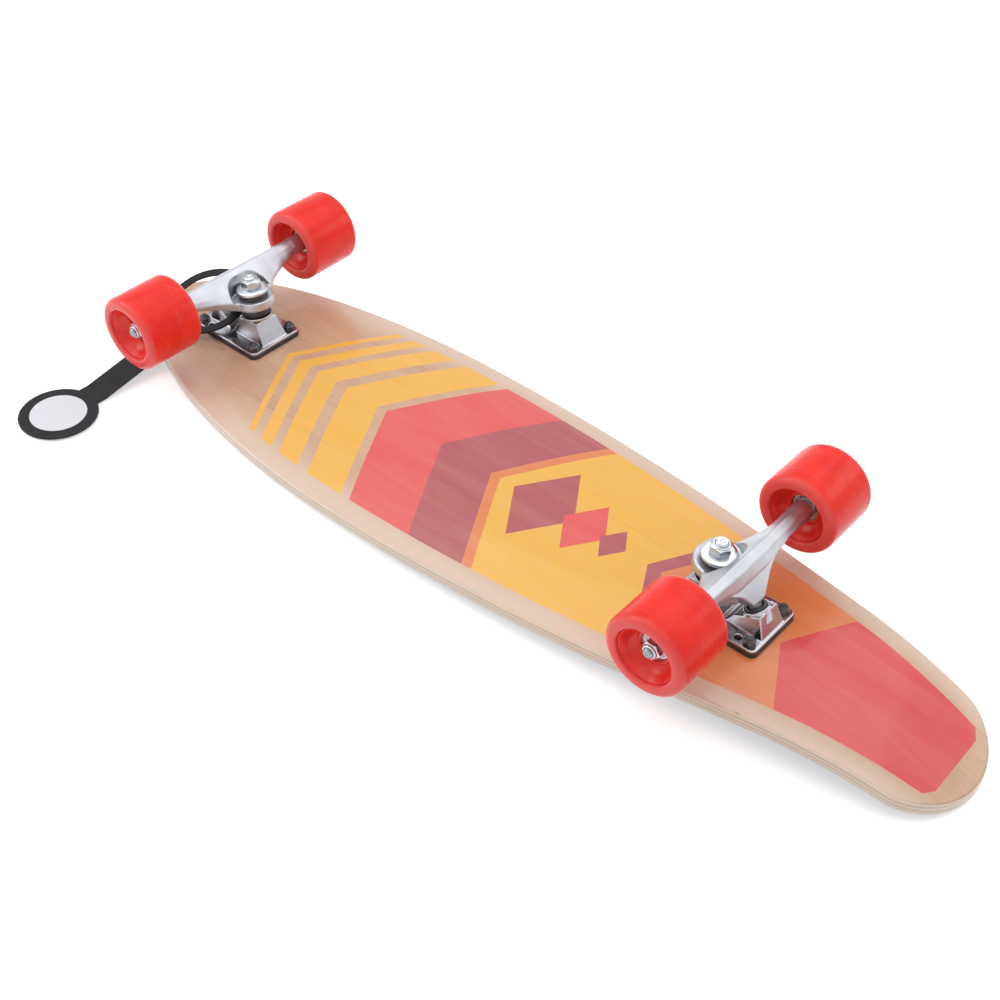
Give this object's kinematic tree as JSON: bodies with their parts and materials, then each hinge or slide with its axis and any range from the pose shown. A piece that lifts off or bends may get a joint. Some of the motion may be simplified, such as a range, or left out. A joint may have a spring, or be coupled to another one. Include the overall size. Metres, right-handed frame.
{
  "type": "longboard skateboard",
  "caption": "Longboard skateboard lying wheels up: pressed maple deck with a kicktail and grip tape, sprung leaning trucks, wheels on ball bearings, and a looped hang tag.",
  "frame": {"origin": "on the riding face of the grip tape, on the board's centre line midway between the two trucks", "axes": "+X from nose to tail, +Y to the rider's left rail, +Z from the riding face towards the wheels"},
  "size_m": [0.81, 0.3218, 0.1195],
  "materials": {
    "maple": "clear gloss lacquer over maple, printed panel",
    "grip": "coarse black grit",
    "black_steel": "black oxide",
    "black_plastic": "moulded, satin",
    "cast_aluminium": "cast and tumbled bright",
    "zinc": "bright zinc plate",
    "black_urethane": "cast urethane, satin",
    "red_urethane": "cast urethane, smooth",
    "red_plastic": "moulded, gloss",
    "bearing_steel": "ground and polished",
    "bearing_shield": "pressed steel",
    "black_card": "matt plastic sheet",
    "white_label": "blank paper"
  },
  "bodies": {
    "board": {"deck": "maple", "grip_tape": "grip", "deck_bolts": "black_steel", "deck_nuts": "black_steel", "front_riser_pad": "black_plastic", "front_baseplate": "cast_aluminium", "front_kingpin": "zinc", "front_kingpin_nut": "zinc", "front_lower_bushing": "black_urethane", "front_upper_bushing": "black_urethane", "front_cup_washers": "zinc", "front_pivot_cup": "black_urethane", "rear_riser_pad": "black_plastic", "rear_baseplate": "cast_aluminium", "rear_kingpin": "zinc", "rear_kingpin_nut": "zinc", "rear_lower_bushing": "black_urethane", "rear_upper_bushing": "black_urethane", "rear_cup_washers": "zinc", "rear_pivot_cup": "black_urethane"},
    "front_left_wheel": {"front_left_wheel_tyre": "red_urethane", "front_left_wheel_core": "red_plastic", "front_left_wheel_bearing_outer_races": "bearing_steel", "front_left_wheel_bearing_balls": "bearing_steel", "front_left_wheel_bearing_shields": "bearing_shield"},
    "front_right_wheel": {"front_right_wheel_tyre": "red_urethane", "front_right_wheel_core": "red_plastic", "front_right_wheel_bearing_outer_races": "bearing_steel", "front_right_wheel_bearing_balls": "bearing_steel", "front_right_wheel_bearing_shields": "bearing_shield"},
    "front_truck": {"front_hanger": "cast_aluminium", "front_axle": "zinc", "front_axle_washers": "zinc", "front_axle_nuts": "zinc", "front_left_wheel_bearing_inner_races": "bearing_steel", "front_left_wheel_bearing_spacer": "zinc", "front_right_wheel_bearing_inner_races": "bearing_steel", "front_right_wheel_bearing_spacer": "zinc"},
    "rear_left_wheel": {"rear_left_wheel_tyre": "red_urethane", "rear_left_wheel_core": "red_plastic", "rear_left_wheel_bearing_outer_races": "bearing_steel", "rear_left_wheel_bearing_balls": "bearing_steel", "rear_left_wheel_bearing_shields": "bearing_shield"},
    "rear_right_wheel": {"rear_right_wheel_tyre": "red_urethane", "rear_right_wheel_core": "red_plastic", "rear_right_wheel_bearing_outer_races": "bearing_steel", "rear_right_wheel_bearing_balls": "bearing_steel", "rear_right_wheel_bearing_shields": "bearing_shield"},
    "rear_truck": {"rear_hanger": "cast_aluminium", "rear_axle": "zinc", "rear_axle_washers": "zinc", "rear_axle_nuts": "zinc", "rear_left_wheel_bearing_inner_races": "bearing_steel", "rear_left_wheel_bearing_spacer": "zinc", "rear_right_wheel_bearing_inner_races": "bearing_steel", "rear_right_wheel_bearing_spacer": "zinc"},
    "tag": {"hang_tag": "black_card", "tag_label": "white_label"}
  },
  "joints": [
    {"name": "front_lean", "type": "hinge", "parent": "board", "child": "front_truck", "pos_m": [-0.279, 0, 0.0268], "axis": [0.8491, 0, 0.5283], "range_deg": [-10, 10], "stiffness_Nm_per_rad": 60, "deforming": ["front_lower_bushing", "front_upper_bushing"]},
    {"name": "front_left_wheel_spin", "type": "hinge", "parent": "front_truck", "child": "front_left_wheel", "pos_m": [-0.2623, 0.089, 0.0638], "axis": [0, 1, 0], "continuous": true},
    {"name": "front_right_wheel_spin", "type": "hinge", "parent": "front_truck", "child": "front_right_wheel", "pos_m": [-0.2623, -0.089, 0.0638], "axis": [0, 1, 0], "continuous": true},
    {"name": "rear_lean", "type": "hinge", "parent": "board", "child": "rear_truck", "pos_m": [0.279, 0, 0.0268], "axis": [-0.8491, 0, 0.5283], "range_deg": [-10, 10], "stiffness_Nm_per_rad": 60, "deforming": ["rear_lower_bushing", "rear_upper_bushing"]},
    {"name": "rear_left_wheel_spin", "type": "hinge", "parent": "rear_truck", "child": "rear_left_wheel", "pos_m": [0.2623, 0.089, 0.0638], "axis": [0, 1, 0], "continuous": true},
    {"name": "rear_right_wheel_spin", "type": "hinge", "parent": "rear_truck", "child": "rear_right_wheel", "pos_m": [0.2623, -0.089, 0.0638], "axis": [0, 1, 0], "continuous": true},
    {"name": "tag_rock", "type": "hinge", "parent": "board", "child": "tag", "pos_m": [-0.296, -0.068, 0.0103], "axis": [-1, 0, 0], "range_deg": [0, 2]}
  ]
}
